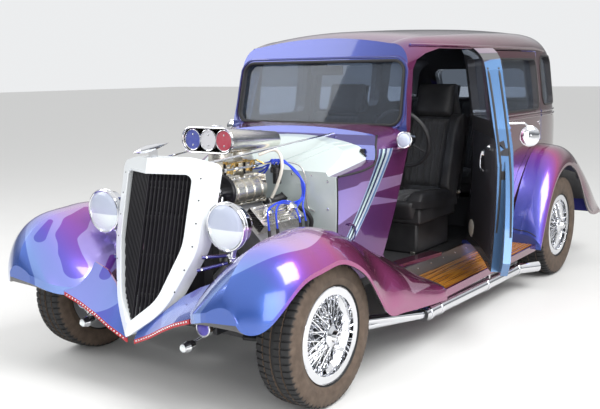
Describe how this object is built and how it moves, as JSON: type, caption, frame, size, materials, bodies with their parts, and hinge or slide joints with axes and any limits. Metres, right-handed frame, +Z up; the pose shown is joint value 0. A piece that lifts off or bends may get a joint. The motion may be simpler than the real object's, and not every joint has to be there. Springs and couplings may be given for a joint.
{
  "type": "four-door street rod sedan",
  "caption": "Four-door sedan street rod with open vee engine, separate fenders, wire wheels, hinged doors and coupled steering.",
  "frame": {"origin": "on the floor under the middle of the whole outline, with the left front door open as parked", "axes": "+Z up, the front faces -Y, the car's left is +X"},
  "size_m": [2.1263, 4.172, 1.721],
  "materials": {
    "chassis_black": "satin black",
    "engine_grey": "painted grey",
    "polished": "polished",
    "brass_tone": "gold passivated",
    "flap_blue": "gloss, blue, white and red",
    "chrome": "polished",
    "shell_white": "gloss white",
    "bar_black": "gloss black",
    "firewall_grey": "gloss light grey",
    "body_paint": "colour-shift gloss, purple to bronze",
    "fender_paint": "colour-shift gloss with flames",
    "board_paint": "gloss purple",
    "board_wood": "varnished",
    "floor_dark": "dark carpet",
    "glass": "clear",
    "lens": "clear fluted",
    "strip_red": "red with bright studs",
    "seat_trim": "black ribbed",
    "wheel_rim_dark": "dark rim",
    "tyre": "rubber"
  },
  "bodies": {
    "root": {"chassis_frame": "chassis_black", "front_suspension": "chassis_black", "rear_axle": "chassis_black", "engine_block": "engine_grey", "valve_covers": "polished", "blower": "polished", "carburettors": "brass_tone", "scoop": "polished", "scoop_flaps": "flap_blue", "exhaust_pipes": "chrome", "radiator": "chassis_black", "grille_shell": "shell_white", "grille_bars": "bar_black", "ornament": "chrome", "stay_rods": "chrome", "firewall": "firewall_grey", "cowl": "body_paint", "roof": "body_paint", "rear_body": "body_paint", "door_posts": "body_paint", "floor_pan": "floor_dark", "cab_glass": "glass", "front_fenders": "fender_paint", "rear_fenders": "fender_paint", "running_boards": "board_paint", "board_slats": "board_wood", "front_apron": "fender_paint", "apron_strip": "strip_red", "headlamps": "chrome", "lamp_lenses": "lens", "small_lamps": "chrome", "front_seats": "seat_trim", "rear_seat": "seat_trim", "dashboard": "body_paint", "fuel_tank": "chassis_black"},
    "front_left_door": {"door_front_left": "body_paint", "glass_front_left": "glass", "mirror_left": "chrome"},
    "front_right_door": {"door_front_right": "body_paint", "glass_front_right": "glass", "mirror_right": "chrome"},
    "rear_left_door": {"door_rear_left": "body_paint", "glass_rear_left": "glass"},
    "rear_right_door": {"door_rear_right": "body_paint", "glass_rear_right": "glass"},
    "left_knuckle": {"knuckle_left": "chassis_black"},
    "right_knuckle": {"knuckle_right": "chassis_black"},
    "front_left_wheel": {"wheel_front_left": "chrome", "tyre_front_left": "tyre"},
    "front_right_wheel": {"wheel_front_right": "chrome", "tyre_front_right": "tyre"},
    "rear_left_wheel": {"wheel_rear_left": "chrome", "tyre_rear_left": "tyre"},
    "rear_right_wheel": {"wheel_rear_right": "chrome", "tyre_rear_right": "tyre"},
    "steering_wheel_body": {"steering_wheel": "wheel_rim_dark"}
  },
  "joints": [
    {"name": "front_left_door_hinge", "type": "hinge", "parent": "root", "child": "front_left_door", "pos_m": [0.56282, 0.303, 0.82], "axis": [0, 0, 1], "range_deg": [-38.5, 36.5]},
    {"name": "front_right_door_hinge", "type": "hinge", "parent": "root", "child": "front_right_door", "pos_m": [-0.86118, 0.303, 0.82], "axis": [0, 0, -1], "range_deg": [0, 75]},
    {"name": "rear_left_door_hinge", "type": "hinge", "parent": "root", "child": "rear_left_door", "pos_m": [0.56282, 0.341, 0.82], "axis": [0, 0, -1], "range_deg": [0, 70]},
    {"name": "rear_right_door_hinge", "type": "hinge", "parent": "root", "child": "rear_right_door", "pos_m": [-0.86118, 0.341, 0.82], "axis": [0, 0, 1], "range_deg": [0, 70]},
    {"name": "left_steer", "type": "hinge", "parent": "root", "child": "left_knuckle", "pos_m": [0.43882, -1.5665, 0.32], "axis": [0, 0, 1], "range_deg": [-30, 30]},
    {"name": "right_steer", "type": "hinge", "parent": "root", "child": "right_knuckle", "pos_m": [-0.73718, -1.5665, 0.32], "axis": [0, 0, 1], "range_deg": [-30, 30]},
    {"name": "front_left_spin", "type": "hinge", "parent": "left_knuckle", "child": "front_left_wheel", "pos_m": [0.57582, -1.5665, 0.32], "axis": [1, 0, 0], "continuous": true},
    {"name": "front_right_spin", "type": "hinge", "parent": "right_knuckle", "child": "front_right_wheel", "pos_m": [-0.87418, -1.5665, 0.32], "axis": [1, 0, 0], "continuous": true},
    {"name": "rear_left_spin", "type": "hinge", "parent": "root", "child": "rear_left_wheel", "pos_m": [0.59582, 1.2785, 0.35], "axis": [1, 0, 0], "continuous": true},
    {"name": "rear_right_spin", "type": "hinge", "parent": "root", "child": "rear_right_wheel", "pos_m": [-0.89418, 1.2785, 0.35], "axis": [1, 0, 0], "continuous": true},
    {"name": "steering_wheel_turn", "type": "hinge", "parent": "root", "child": "steering_wheel_body", "pos_m": [0.22082, -0.174, 1.04], "axis": [0, 0.9356, 0.3531], "range_deg": [-455, 455]}
  ],
  "couplings": [
    {"joint": "right_steer", "follows": "left_steer", "ratio": 1},
    {"joint": "steering_wheel_turn", "follows": "left_steer", "ratio": 15}
  ]
}
